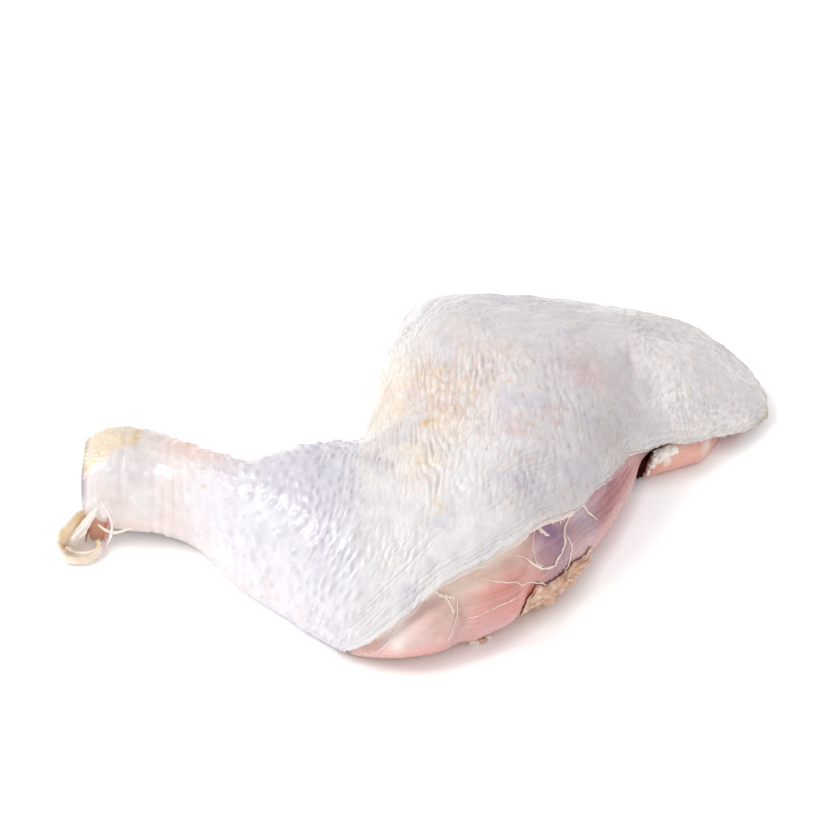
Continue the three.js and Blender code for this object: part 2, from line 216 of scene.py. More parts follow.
def wall_point(s, v, out=0.0):
    """A point this far out of the bare wall, at an angle counted from the bottom."""
    s, v = np.asarray(s, float), np.asarray(v, float)
    return inset(s, v, meat_depth(s, v + 360) - out)


# ---- repeatable noise ----


def hashed(x, y, z, seed):
    """A repeatable number from 0 to 1 for each whole-numbered point."""
    h = (x * 374761393 + y * 668265263 + z * 2147483647 + seed * 1274126177) & 0xFFFFFFFF
    h = ((h ^ (h >> 13)) * 1274126177) & 0xFFFFFFFF
    return ((h ^ (h >> 16)) & 0xFFFF) / 65535.0


def noise(p, seed=0):
    """Smooth noise from -1 to 1, one lattice cell a unit, for points of two or three coordinates."""
    p = np.asarray(p, float)
    size = p.shape[-1]
    base = np.floor(p).astype(np.int64)
    f = p - base
    f = f * f * (3 - 2 * f)
    total = 0
    for corner in np.ndindex(*(2,) * size):
        c = base + corner
        weight = np.prod(np.where(np.array(corner, bool), f, 1 - f), axis=-1)
        total = total + weight * hashed(c[..., 0], c[..., 1], c[..., 2] if size == 3 else 0, seed)
    return 2 * total - 1


def fractal(p, octaves=3, seed=0):
    return sum(noise(p * 2.03**k, seed + 7 * k) / 2**k for k in range(octaves)) / (2 - 0.5 ** (octaves - 1))


def along(t, octaves, seed):
    """Noise along a line."""
    return fractal(plane(t, 0 * t), octaves, seed)


def patches(p, size, low, high, seed, octaves=1):
    """Patches of about this size: 0 where the noise is below low, 1 where it is above high."""
    return ramp(low, high, fractal(p / size, octaves, seed))


def cells(p, seed=0, jitter=0.9):
    """Distance to the nearest of one random point a lattice cell, in the plane, how much farther the next
    one is, and a random number for the nearest."""
    base = np.floor(p).astype(np.int64)
    first = np.full(p.shape[:-1], 9.0)
    second = first.copy()
    pick = np.zeros(p.shape[:-1])
    for corner in np.ndindex(3, 3):
        c = base + np.array(corner) - 1
        point = plane(*(hashed(c[..., 0], c[..., 1], k, seed) for k in (1, 2)))
        away = np.linalg.norm(p - c - 0.5 - jitter * (point - 0.5), axis=-1)
        nearer = away < first
        second = np.where(nearer, first, np.minimum(second, away))
        pick = np.where(nearer, hashed(c[..., 0], c[..., 1], 3, seed), pick)
        first = np.where(nearer, away, first)
    return first, second - first, pick


def ripples(u, w, spacing, length, seed):
    """Soft folds that run along w, this far apart in u: 1 in the crease between two, 0 on their backs."""
    phase = u / spacing + 1.5 * fractal(plane(u / (3.5 * spacing), w / length), 2, seed)
    broken = patches(plane(u / (1.4 * spacing), w / (0.6 * length)), 1, -0.5, 0.4, seed + 50)
    return (1 - np.sqrt(np.sin(np.pi * phase) ** 2 + 0.01)) * broken


# ---- meshes ----


def srgb(tone):
    """A tone's hex code as linear light."""
    c = np.array(list(bytes.fromhex(tone))) / 255
    return np.where(c <= 0.04045, c / 12.92, ((c + 0.055) / 1.055) ** 2.4)


def numbered(points):
    """The numbers of a grid of points."""
    return np.arange(points[..., 0].size).reshape(points.shape[:2])


def quads(index):
    """The faces between the rows and columns of an index grid, seen from outside."""
    a, b, c, d = index[:-1, :-1], index[1:, :-1], index[1:, 1:], index[:-1, 1:]
    return np.stack([a, b, c, d], -1).reshape(-1, 4)


def tube_faces(rings):
    """The faces of a closed tube of rings, seen from outside, with its two ends shut."""
    grid = numbered(rings)
    grid = np.concatenate([grid, grid[:, :1]], 1)
    return quads(grid).tolist() + [grid[0, :-1].tolist(), grid[-1, -2::-1].tolist()]


def around(count):
    return np.linspace(0, 2 * np.pi, count, endpoint=False)


def raised(points, least=0):
    """The points, with none below this height."""
    points[..., 2] = np.maximum(points[..., 2], least)
    return points


def put(name, data):
    """A new object in the scene."""
    made = bpy.data.objects.new(name, data)
    bpy.context.scene.collection.objects.link(made)
    return made


def mesh_from(name, points, faces, color, finish, slot, *nodes):
    """A smooth mesh that rides on the root, in the frame's metres, with a colour for each point."""
    kept = [tuple(dict.fromkeys(face)) for face in faces]
    kept = [face for face in kept if len(face) > 2]
    used = np.unique(np.concatenate(kept))
    points, color = points.reshape(-1, 3), color.reshape(-1, 3)
    number = np.full(len(points), -1)
    number[used] = np.arange(len(used))
    number = number.tolist()
    mesh = bpy.data.meshes.new(name)
    places = ((points[used] - CENTRE) * MM).tolist()
    mesh.from_pydata(places, [], [[number[k] for k in face] for face in kept])
    tint = mesh.color_attributes.new("tint", "FLOAT_COLOR", "POINT")
    rgba = np.ones((len(used), 4))
    rgba[:, :3] = np.clip(color[used], 0, 1)
    tint.data.foreach_set("color", rgba.ravel())
    mesh.shade_smooth()
    mesh.materials.append(finish)
    piece = put(name, mesh)
    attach(piece, "root")
    if nodes:
        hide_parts(*nodes)
    return piece


def mesh_of_tubes(name, tubes, finish, slot, *nodes):
    """One mesh of several closed tubes, each given by its rings of points and their colours."""
    faces = []
    start = 0
    for rings, _ in tubes:
        faces += [[start + k for k in face] for face in tube_faces(rings)]
        start += rings[..., 0].size
    points, color = (np.concatenate([part.reshape(-1, 3) for part in parts]) for parts in zip(*tubes))
    return mesh_from(name, points, faces, color, finish, slot, *nodes)


def path_lengths(points, axis):
    steps = np.linalg.norm(np.diff(points, axis=axis), axis=-1)
    first = np.zeros_like(np.take(steps, [0], axis))
    return np.concatenate([first, np.cumsum(steps, axis)], axis)


def even_rows(start, end, count, angles):
    """Stations from start to end whose sections are equally far apart, on average over some angles."""
    fine = np.linspace(start, end, 600)
    length = path_lengths(surface(fine[:, None], np.array(angles, float)[None]), 0).mean(1)
    return np.interp(np.linspace(0, length[-1], count), length, fine)


# ---- finishes ----


def feed(node, **inputs):
    """Sets a shader node's inputs, each to a value or to the output of another node."""
    for name, value in inputs.items():
        socket = node.inputs[name.replace("_", " ")]
        if isinstance(value, bpy.types.NodeSocket):
            node.id_data.links.new(value, socket)
        else:
            socket.default_value = value


def add(tree, kind, **inputs):
    node = tree.nodes.new("ShaderNode" + kind)
    feed(node, **inputs)
    return node


def new_material(name):
    material = bpy.data.materials.new(name)
    material.use_nodes = True
    return material, material.node_tree, material.node_tree.nodes["Principled BSDF"]


def fleshy(name, roughness, subsurface, coat, grain, depth, shine=0.5):
    """A moist surface: the piece's own tint, uneven in colour and gloss, with a fine grain."""
    material, tree, shader = new_material(name)
    place = add(tree, "TexCoord").outputs["Object"]
    mottle = add(tree, "TexNoise", Vector=place, Scale=260, Detail=6).outputs["Fac"]
    tone = add(tree, "MapRange", Value=mottle, From_Min=0.3, From_Max=0.7, To_Min=0.93, To_Max=1.05)
    tint = add(tree, "Attribute")
    tint.attribute_name = "tint"
    paint = add(tree, "VectorMath")
    paint.operation = "SCALE"
    feed(paint, Vector=tint.outputs["Color"], Scale=tone.outputs["Result"])
    gloss = add(tree, "MapRange", Value=mottle, To_Min=roughness - 0.08, To_Max=roughness + 0.1)
    fine = add(tree, "TexNoise", Vector=place, Scale=grain, Detail=4)
    bump = add(tree, "Bump", Height=fine.outputs["Fac"], Strength=1, Distance=depth * MM)
    feed(shader, Base_Color=paint.outputs["Vector"], Roughness=gloss.outputs["Result"],
         Normal=bump.outputs["Normal"], Subsurface_Weight=subsurface, Subsurface_Radius=(1.0, 0.55, 0.4),
         Subsurface_Scale=1.6 * MM, Specular_IOR_Level=shine, Coat_Weight=coat, Coat_Roughness=0.2)
    return material


# ---- reliefs and colours ----


class Relief:
    """Height of the wrinkles over a smooth surface, and how deep in a crease each point lies."""

    def __init__(self, height):
        self.height = height
        self.crease = np.zeros_like(height)

    def add(self, mask, shape, rise, mark=0.0):
        self.height = self.height + mask * shape * rise
        self.crease = np.maximum(self.crease, mask * shape**2 * mark)


class Paint:
    """The colour of each point, laid on in washes."""

    def __init__(self, points, tone):
        self.points = points
        self.color = np.broadcast_to(srgb(tone), points.shape).copy()

    def wash(self, mask, tone, strength=1.0):
        share = np.clip(mask, 0, 1) * strength
        self.color = mix(self.color, srgb(tone), np.broadcast_to(share, self.color.shape[:-1])[..., None])

    def spot(self, at, reach, tone, strength=1.0, within=1):
        """A wash that fades out round a place."""
        self.wash(near(self.points, at, reach) * within, tone, strength)


# ---- skin ----

SKIN_ROWS = 480
SKIN_COLUMNS = 300
INNER_STEP = 5  # columns of the outer face for each one of the inner face
RIM = 3  # points round the cut edge
CROWN = 180  # angle of the crown
NO_EDGE = 99  # distance to the cut edge where the skin is a closed tube
SKIN_OPENS = (5.4, 6)  # stations between which the tube opens and gets its ragged edges
RIM_FROM = (5.6, 6.2)  # stations over which the cut edge thickens
RELIEF_GAIN = 1.25
INNER_RELIEF = 0.6  # share of the relief that shows on the inner face
INNER_SHADE = np.array([1, 0.93, 0.88])

CALF_WHITE = "e3e0e5"
LAVENDER = "d9d2e0"
SHANK_WHITE = "ebe4e3"
SHANK_PINK = "edccc0"
THIGH_CREAM = "f0e6da"
THIGH_WHITE = "f6f2f2"
THIGH_COOL = "e8e1e1"
THIGH_TOP = "dedadb"
HIP_GREY = "f3eceb"
HIP_FRONT_PAINTED_SHADE = "d0c8c4"
PINK_HOLLOW = "e6c8c4"
RED_CREASE = "daa4a0"
CREASE_TAN_AND_SHADE = "d8b492"
CREASE_ROSE_AND_SHADE = "d6bcb6"
ANKLE_YELLOW = "f7dcaa"
ANKLE_ORANGE = "e4a44c"
PORE_ORANGE = "dca694"
PORE_TAN = "e4ccb2"
RIM_CREAM = "f0e2d6"
MAUVE = "c4b2cc"
KNEE_GREY = "d4ced4"
KNOB_WHITE = "fcf8f8"
BLOTCH_TAN = "f0dec4"
UNDERCURVE_PAINTED_SHADE = "d6c8cc"
LILAC = "d4d0de"
FLECK_YELLOW = "eaca98"
HIP_END = "d6d0d0"
RIM_YELLOW = "ecd2a0"

# Fat that shines through the thigh's skin: plan place, reach, tone, strength.
YELLOW_SPOTS = [
    ((4.8, 2.1), (2.2, 1.6), "ecb654", 0.8),
    ((12.8, 48.2), (1, 1.3), "e4b676", 0.7),
    ((33.4, 21), (0.8, 1.2), "e4b286", 0.6),
    ((28.3, 15.8), (1.4, 0.6), "e2b890", 0.6),
    ((2.4, -13.2), (2.6, 3.2), "f0d4a4", 0.6),
    ((6.9, -30.4), (1.8, 2.8), "eed4aa", 0.6),
    ((34.7, 0.7), (1.8, 0.7), "e6be9a", 0.5),
    ((8.5, 22.5), (2.6, 1.8), "eed4ac", 0.5),
    ((-4, 12), (2.6, 4.4), "f0dab4", 0.5),
    ((15, 17), (1.8, 2.2), "eed6b4", 0.5),
    ((-60.4, -11.2), (0.35, 0.35), "e8aa6e", 0.8),
    ((-46.7, -22.4), (0.25, 0.25), "786e6c", 0.8),
    ((61, 10), (0.6, 0.8), "e4c486", 0.7),
]
DAPPLED_FROM = 0.5  # spots wider than this are broken up

# Humps and hollows of the hip's skin: plan place, reach, rise.
HIP_BUMPS = [
    ((54, 29), (6, 4.5), -0.6),
    ((66.5, 41), (1.5, 6), -0.5),
    ((62, 26.5), (2, 7), -0.4),
    ((72.5, 42.6), (5, 5), 0.5),
]


def cut_edge(rows):
    """Angle of the skin's ragged front edge."""
    ragged = 0.9 * along(rows * 2.2, 3, 5) + 0.5 * along(rows * 11, 1, 6)
    ragged = ragged * (1 + 1.5 * ramp(13, 15, rows))
    moved = 4 * fade(rows - 10.15, 0.3) + 3 * fade(rows - 11.25, 0.25)
    return skin_front(rows) + ramp(*SKIN_OPENS, rows) * (ragged + moved)


def skin_field():
    """Where each point of the skin lies: station, angle, place, distances along the surface, and how much
    it belongs to each part of the leg."""
    rows = even_rows(0, LAST, SKIN_ROWS, [90, 130, 180, 220])
    front = cut_edge(rows)
    rear = skin_rear(rows) + ramp(*SKIN_OPENS, rows) * 1.5 * along(rows * 2, 3, 9)
    even = np.linspace(0, 1, SKIN_COLUMNS + 1)[None]
    t = even - 0.11 * np.sin(np.pi * even) ** 2  # closer together on the front than on the rear
    s, v = np.broadcast_arrays(rows[:, None], front[:, None] + (rear - front)[:, None] * t)
    closed = (rear - front) > 359.9
    p = surface(s, v)
    x, y, z = np.moveaxis(p, -1, 0)
    girth = path_lengths(p, 1)

    def beyond(angles):
        """How far each point lies round the section from an angle, one for each station."""
        return girth - np.array([np.interp(a, row, g) for a, row, g in zip(angles, v, girth)])[:, None]

    edge_angle = np.where(rows < 6, np.interp(rows, [0, 4.5, 6], [60, 60, 76]), front)
    past_knee = ramp(-18, -12, x) * ramp(5, 5.8, s)
    shank = 1 - ramp(2.2, 3.4, s)
    hip = ramp(11.5, 12.7, s)
    # The yellow scales left at the hock go over the top, and down the end to the front.
    slant = (x + 92) * 0.6 - (y - 2) + noise(p / 3, 31)
    ragged_end = ramp(1.45, 1.6, s + 0.05 * noise(p / 1.5, 32))
    return SimpleNamespace(
        s=s, v=v, section=plane(s, v), p=p, x=x, y=y, z=z, n=normal(s, v), closed=closed,
        length=path_lengths(p, 0), side=beyond(np.full(len(rows), CROWN)), edge=beyond(edge_angle),
        rim=np.where(closed[:, None], NO_EDGE, np.minimum(girth, girth[:, -1:] - girth)),
        shank=shank, calf=(1 - shank) * (1 - past_knee), thigh=past_knee * (1 - hip), hip=hip,
        upper=ramp(176, 202, v) * past_knee * (1 - 0.7 * hip),
        left=near(p, (-1, -6), (17, 42)) * past_knee,
        middle=near(p, (40, 8), (24, 30)) * past_knee * (1 - hip),
        ankle=(1 - ramp(-1.2, 1.2, slant)) * (1 - ragged_end))


def looseness(f, size, seed):
    return 0.7 + 0.6 * noise(f.p / size, seed)


def skin_cells(f, u, w, warp, reach, seed, jitter=0.9):
    """cells() on the skin, over two distances counted in cells and warped by slow noise."""
    drift = warp * fractal(f.p / reach, 2, seed - 1)[..., None]
    return cells(plane(u, w) + drift, seed, jitter)


def ankle_scale_gaps(f):
    return cells(plane(f.length, f.side) / 1.7 + 0.3 * noise(f.p / 3, 24)[..., None], 23, 0.7)[1]


def thigh_pits(f):
    first, _, pick = skin_cells(f, (f.x + 0.2 * f.y) / 4.2, f.y / 6.4, 0.25, 8, 40, 0.55)
    return fade(first, 0.1) * (pick > 0.15)


def thigh_network(f):
    """Creases that part the skin into uneven cells."""
    return fade(skin_cells(f, f.length / 3.2, f.side / 3.8, 0.35, 6, 15)[1], 0.2)


def hip_follicles(f):
    """Distance to the nearest of the follicles, whose rows slant across the hip."""
    return skin_cells(f, (f.length + 0.5 * f.side) / 4.6, f.side / 4.2, 0.22, 8, 20, 0.5)[0]


def wrinkle_drumstick(f, relief):
    """Round follicles on the calf, and folds and fine striations round the calf and the shank."""
    length, side = f.length, f.side
    first, _, pick = skin_cells(f, length / 3.7, side / 3.7, 0.35, 6, 5, 0.85)
    relief.add((f.calf + 0.3 * f.shank) * (0.3 + pick), fade(first, 0.3), 0.6)
    relief.add(f.calf, ripples(length + 0.2 * side, side, 1.5, 12, 6), -0.12)
    relief.add(f.calf * near(f.p, (-26, -24), (14, 22)), ripples(length, side, 3.6, 20, 7), -0.3, 0.6)
    relief.add(f.shank * looseness(f, 11, 30), ripples(length, side, 3.8, 30, 8), -0.34, 0.7)
    relief.add(f.shank, ripples(length, side, 1.3, 14, 9), -0.1)
    relief.add(f.ankle, fade(ankle_scale_gaps(f), 0.22), -0.22)


def wrinkle_thigh(f, relief):
    """Soft folds on the left, finer ones and pits in the middle, streaks along the top and the cut edge."""
    x, y, length, side, edge = f.x, f.y, f.length, f.side, f.edge
    loose = looseness(f, 11, 60)
    relief.add(f.left * loose, ripples(length, side, 2.9, 12, 10), -0.72, 1.2)
    relief.add(f.left, ripples(length + 0.4 * side, side, 1.6, 7, 11), -0.16, 0.3)
    relief.add(f.middle * loose, ripples(x + 0.15 * y, y, 2.8, 11, 12), -0.34, 0.6)
    relief.add(f.middle, ripples(x + 0.4 * y, y, 1.5, 7, 13), -0.12)
    relief.add(f.middle * loose, ripples(y - 0.3 * x, x, 3.2, 9, 61), -0.16)
    network = (near(f.p, (13, 14), (11, 17)) + 0.4 * f.thigh) * loose
    relief.add(network, thigh_network(f), -0.32, 0.4)
    relief.add(network, ripples(length - 0.5 * side, side, 2.4, 8, 73), -0.36, 0.9)
    relief.add(network, ripples(length + 0.8 * side, side, 3.0, 8, 74), -0.26, 0.6)
    band = (1 - ramp(10, 26, edge)) * ramp(4.6, 5.8, f.s) * (1 - ramp(9, 10.6, f.s))
    relief.add(band, ripples(edge, length, 1.8, 26, 16), -0.26, 0.4)
    relief.add(near(f.p, (-9, -42), (9, 12)), ripples(length + 0.5 * edge, edge, 2.2, 11, 17), -0.3, 0.4)
    relief.add(f.upper, ripples(side, length, 1.7, 18, 18), -0.26, 0.6)
    relief.add(f.middle + 0.4 * f.left, thigh_pits(f), -0.16)


def wrinkle_hip(f, relief):
    """Follicles with fish-scale folds between them, a hump, and the hollows beside it."""
    length, side = f.length, f.side
    loose = looseness(f, 9, 62)
    beside = near(f.p, (63, 14), (9, 14)) * (f.v < 200)
    relief.add(f.hip, fade(hip_follicles(f), 0.26), 0.3)
    gap = skin_cells(f, (length + 0.6 * side) / 2.1, (side - 0.4 * length) / 3.8, 0.4, 7, 71, 0.6)[1]
    relief.add((f.hip + 0.6 * beside) * loose, fade(gap, 0.34), -0.26, 0.4)
    relief.add(f.hip * loose, ripples(length + 0.6 * side, side, 2.2, 8, 21), -0.22, 0.4)
    relief.add(beside * loose, ripples(length + 0.5 * side, side, 2.0, 8, 63), -0.2, 0.3)
    for at, reach, rise in HIP_BUMPS:
        relief.add(near(f.p, at, reach), 1, rise)


def skin_relief(f):
    relief = Relief(0.5 * fractal(f.p / 15, 2, 1) + 0.26 * noise(f.p / 6, 2) + 0.09 * noise(f.p / 2.2, 3))
    wrinkle_drumstick(f, relief)
    wrinkle_thigh(f, relief)
    wrinkle_hip(f, relief)
    relief.add(ramp(*RIM_FROM, f.s), fade(f.rim, 1.3), 0.3)
    clear = ramp(0.4, 4, f.z)
    return RELIEF_GAIN * relief.height * clear, np.clip(relief.crease, 0, 1) * clear


def tint_drumstick(f, tone):
    tone.wash(patches(plane(f.length / 6, f.side / 22), 1, -0.1, 0.6, 33) * f.calf, LAVENDER, 0.5)
    tone.spot((-27, -24), (14, 20), LAVENDER, 0.5, f.calf)
    tone.spot((-22, 4), (9, 12), KNEE_GREY, 0.5, f.calf)
    tone.wash(near(f.section, (4.3, 78), (1.2, 20)) * patches(f.p, 5, -0.5, 0.4, 75), SHANK_PINK, 0.4)
    tone.wash(f.shank, SHANK_WHITE)
    tone.wash(near(f.section, (2.7, 200), (0.9, 34)), SHANK_PINK)
    tone.wash(near(f.section, (2.0, 60), (1.6, 40)), SHANK_PINK, 0.3)
    tone.wash(patches(f.p, 6, 0.1, 0.6, 64, 2) * f.shank, SHANK_PINK, 0.25)
    scales = f.ankle * (0.3 + 0.7 * ramp(0.05, 0.35, ankle_scale_gaps(f)))
    tone.wash(scales, ANKLE_YELLOW, 0.75 + 0.25 * noise(f.p / 3, 65))
    tone.wash(near(f.section, (0, 122), (0.14, 16)), MAUVE, 0.95)
    tone.spot((-96.2, -1.6, 20), (0.8, 0.9, 0.9), KNOB_WHITE, 0.9)
    tone.wash(fade(f.s - 1.5, 0.07) * f.ankle * patches(f.p, 1.4, -0.4, 0.4, 46), ANKLE_ORANGE, 0.7)


def tint_thigh(f, tone, crease):
    soft = 1.0 + 9 * (1 - ramp(-34, -4, f.y))
    warm = ramp(-1, 1, (f.x + 14.4 + 1.2 * noise(f.p / 7, 34)) / soft) * ramp(5, 6, f.s)
    in_front = f.v < 250
    tone.wash(warm, THIGH_WHITE)
    tone.spot((-6, 20), (20, 30), THIGH_CREAM, within=warm)
    tone.wash(ramp(8.2, 9.8, f.s), THIGH_COOL)
    tone.wash(f.upper * ramp(8, 9.6, f.s), THIGH_TOP, 0.9)
    blotches = patches(f.p, 7, 0.1, 0.6, 35, 2)
    tone.spot((2, 4), (20, 34), BLOTCH_TAN, 0.45, blotches)
    tone.wash(blotches * f.middle, PINK_HOLLOW, 0.5)
    # Painted shade: darker grey where the thigh's skin curves under towards its lower edge.
    tone.spot((33, -20), (9, 8), UNDERCURVE_PAINTED_SHADE, 0.4)
    tone.wash(patches(f.p, 9, 0.1, 0.6, 66, 2) * f.thigh, LILAC, 0.45)
    tan = near(f.p, (0, 6), (18, 34)) + near(f.p, (15, 14), (15, 20))
    # The creases' own tan and rose tones, laid on darker with their depth as painted shade.
    tone.wash(crease * tan * in_front, CREASE_TAN_AND_SHADE, 0.6)
    tone.wash(crease, CREASE_ROSE_AND_SHADE, 0.5)
    # The creases of the skin's network: their tan tone, darkened as painted shade.
    broken = patches(f.p, 5, -0.5, 0.2, 76) * (f.v < 230)
    tone.spot((9, 16), (14, 19), CREASE_TAN_AND_SHADE, 0.5, thigh_network(f) * broken)
    flecks = patches(f.p, 1.7, 0.5, 0.62, 36) * patches(f.p, 6, 0.0, 0.3, 37) * f.thigh
    tone.spot((14, 18), (26, 34), FLECK_YELLOW, 0.5, flecks)
    dapple = patches(f.p, 0.9, -0.6, 0.3, 38)
    for at, reach, shade, strength in YELLOW_SPOTS:
        tone.spot(at, reach, shade, strength, (dapple if reach[0] > DAPPLED_FROM else 1) * in_front * 1.3)
    tone.wash(thigh_pits(f) * (f.middle + f.thigh * 0.45), PORE_ORANGE, 0.5)


def tint_hip(f, tone):
    tone.wash(f.hip, HIP_GREY)
    # Painted shade: the hip's front slope, turned away from the key light, laid on darker and greyer.
    tone.spot((60, 8), (10, 14), HIP_FRONT_PAINTED_SHADE, 0.8, 1 - ramp(130, 150, f.v))
    tone.spot((72, 62), (16, 16), HIP_END, 0.6, f.v > 180)
    tone.spot((54, 29), (9, 7), PINK_HOLLOW, 0.6)
    tone.spot((66, 41), (1.6, 5.4), RED_CREASE, 0.5, patches(f.p, 2, -0.5, 0.3, 67))
    tone.spot((62, 27), (2.5, 8), LAVENDER, 0.4)
    tone.wash(fade(hip_follicles(f), 0.17) * f.hip, PORE_TAN, 0.6)
    yellow = ramp(14.6, 15.4, f.s) * fade(f.rim, 1.6) + 0.6 * ramp(15.75, 15.95, f.s)
    tone.wash(yellow * patches(f.p, 2.4, -0.5, 0.3, 68), RIM_YELLOW, 0.7)


def skin_tint(f, crease):
    tone = Paint(f.p, CALF_WHITE)
    tint_drumstick(f, tone)
    tint_thigh(f, tone, crease)
    tint_hip(f, tone)
    tone.wash(fade(f.rim, 1.2) * ramp(*RIM_FROM, f.s), RIM_CREAM, 0.35)
    return tone.color


def make_skin(finish):
    f = skin_field()
    height, crease = skin_relief(f)
    tint = skin_tint(f, crease)
    outer = raised(f.p + f.n * height[..., None])
    some = np.arange(0, SKIN_COLUMNS + 1, INNER_STEP)
    inner = inset(f.s[:, some], f.v[:, some], SKIN_THICKNESS)
    inner += f.n[:, some] * height[:, some, None] * INNER_RELIEF
    raised(inner, np.where(outer[:, some, 2] < 0.2, SKIN_THICKNESS, 0))
    index = numbered(outer)
    inner_index = index.size + numbered(inner)
    for grid in (index, inner_index):
        grid[f.closed, -1] = grid[f.closed, 0]
    points = [outer.reshape(-1, 3), inner.reshape(-1, 3)]
    colors = [tint.reshape(-1, 3), tint[:, some].reshape(-1, 3) * INNER_SHADE]
    faces = quads(index).tolist() + quads(inner_index)[:, ::-1].tolist()

    def rim(a, beside, tone, b, a_index, b_index, flip):
        """A rounded strip from one line of points, away from the line beside it, to another."""
        away = unit(a - beside)
        middle = (a + b) / 2
        strips = [a_index]
        for k in range(1, RIM + 1):
            turn = math.pi * k / (RIM + 1)
            arc = middle + (a - middle) * math.cos(turn) + away * (math.sin(turn) * SKIN_THICKNESS / 2)
            strips.append(sum(map(len, points)) + np.arange(len(arc)))
            points.append(raised(arc))
            colors.append(mix(tone, srgb(RIM_CREAM), 0.5))
        strip = quads(np.array(strips + [b_index]))
        faces.extend((strip[:, ::-1] if flip else strip).tolist())

    opened = np.where(~f.closed)[0]
    opened = np.concatenate([[opened[0] - 1], opened])
    for end, beside, flip in ((0, 1, True), (-1, -2, False)):
        rim(outer[opened, end], outer[opened, beside], tint[opened, end], inner[opened, end],
            index[opened, end], inner_index[opened, end], flip)
    for end, beside, flip in ((0, 1, False), (-1, -2, True)):
        rim(outer[end, some], outer[beside, some], tint[end, some], inner[end],
            index[end, some], inner_index[end], flip)
    return mesh_from("skin_surface", np.concatenate(points), faces, np.concatenate(colors), finish,
                     "skin", "skin")


# ---- the curled strip of skin at the ankle ----

CURL_THICKNESS = 1.3
# Lower edge x, y, z, upper edge x, y, z, and how far the strip bows out between them.
CURL = np.array([
    [-95.3, 3.6, 3.3, -95.5, -3.1, 12, 1.8],
    [-98.4, 1, 2, -98.4, -4.2, 12.6, 1.8],
    [-101.4, -4, 1, -101.4, -7.4, 11.6, 1.4],
    [-103.6, -7.2, 0.7, -104, -9.4, 8.8, 1],
    [-104, -10.2, 0.7, -104.6, -11, 6, 0.6],
    [-102, -12.8, 0.7, -102.3, -13.2, 3.6, 0.2],
    [-98, -13.7, 0.7, -98, -13.8, 2.8, 0],
    [-94.4, -12.2, 0.7, -94.3, -12.3, 2.8, 0],
    [-92.2, -9.2, 0.7, -92.1, -9.2, 3.2, 0],
    [-93.4, -6.6, 0.7, -93.4, -6.6, 3.8, 0],
])
CURL_YELLOW = "f6daa8"
CURL_WHITE = "f6e8dc"
CURL_INNER_BROWN_AND_SHADE = "ce987e"
EDGE_RED = "aa3e34"


def make_curl(finish):
    steps, sides = 150, 52
    last = len(CURL) - 1
    s = np.linspace(0, last, steps)
    table = through(CURL, s)
    ahead = through(CURL, np.minimum(s + 0.1, last)) - through(CURL, np.maximum(s - 0.1, 0))
    low, high, bow = table[:, None, :3], table[:, None, 3:6], table[:, None, 6:7]
    side = unit(np.cross((ahead[:, :3] + ahead[:, 3:6]) / 2, table[:, 3:6] - table[:, :3]))[:, None]
    turn = around(sides)
    h = (0.5 - 0.5 * signed_power(np.cos(turn), 0.8))[None, :, None]
    out = signed_power(np.sin(turn), 0.45)[None, :, None]
    middle = low + (high - low) * h - side * 4 * bow * h * (1 - h)
    folded = 0.45 * fractal(middle / 4, 2, 42) + 0.14 * noise(middle / 1.1, 41)
    points = raised(middle + side * (out * CURL_THICKNESS / 2 + folded[..., None]), 0.05)
    outside = 1 - ramp(-0.4, 0.4, out[..., 0])
    tone = Paint(points, CURL_WHITE)
    tone.wash(patches(points, 3, -0.3, 0.5, 44), CURL_YELLOW, 0.35)
    tone.wash(outside * patches(points, 1.8, -0.6, 0.0, 43), CURL_YELLOW, 0.9)
    return mesh_of_tubes("ankle_curl", [(points, tone.color)], finish, "skin", "skin")


# ---- meat ----

MEAT_FROM, MEAT_TO = 1.185, 14.815  # stations of the meat's two ends
MEAT_TURN = 392  # angle from which the bare wall shows
UNDER_SKIN, UNDERSIDE, WALL = 44, 70, 150  # columns of each

MEAT_PALE = "e2bab0"
MEAT_PEACH = "fff4ee"
MEAT_SALMON = "e28478"
MEAT_RED = "da7a70"
FASCIA = "ffe4d4"
MEAT_PURPLE = "9c7292"
MEAT_MAUVE = "cea2a8"
MEAT_LAVENDER = "c8b6c4"
MEAT_BAND = "c68182"
MEAT_SHADE = "965c60"
GAP_PAINTED_SHADE = "3a1012"
MEAT_ROSE = "e2a69c"
FIBRE_PALE = "ecd0c6"
REAR_FAT = "ecd6be"
REAR_PINK = "eed0be"
JOINT_RED = "ba4654"

# Washes on the bare wall: station, angle, half widths in both, tone, strength.
WALL_WASHES = [
    ((6.48, 97), (0.34, 11), MEAT_PEACH, 1),
    ((7, 78), (0.7, 14), MEAT_SALMON, 0.5),
    ((7.42, 96), (0.06, 18), "be8a82", 0.6),
    ((8.1, 108), (0.32, 8), MEAT_SALMON, 0.9),
    ((8.45, 97), (0.3, 9), MEAT_RED, 1),
    ((8.2, 92), (0.35, 6), MEAT_RED, 0.7),
    ((7.9, 84), (0.6, 9), MEAT_MAUVE, 0.7),
    ((8.3, 121), (0.6, 8), FASCIA, 1),
    ((7.5, 118), (0.5, 7), FASCIA, 0.9),
    ((9.1, 94), (0.35, 7), MEAT_SHADE, 0.5),
    ((9.95, 107), (0.3, 7), MEAT_LAVENDER, 0.9),
    ((9.18, 114), (0.22, 8), MEAT_PURPLE, 1.1),
    ((9.3, 104), (0.16, 7), MEAT_PURPLE, 0.8),
    ((8.95, 119), (0.2, 5), MEAT_PURPLE, 0.9),
    ((10.6, 108), (0.7, 5), "966070", 0.6),
    ((10.6, 90), (0.9, 6), "ce988e", 0.6),
]


def spread(start, end, count):
    """Angles from start on, without the end, in one row for each station."""
    return start + (end - start) * np.linspace(0, 1, count, endpoint=False)


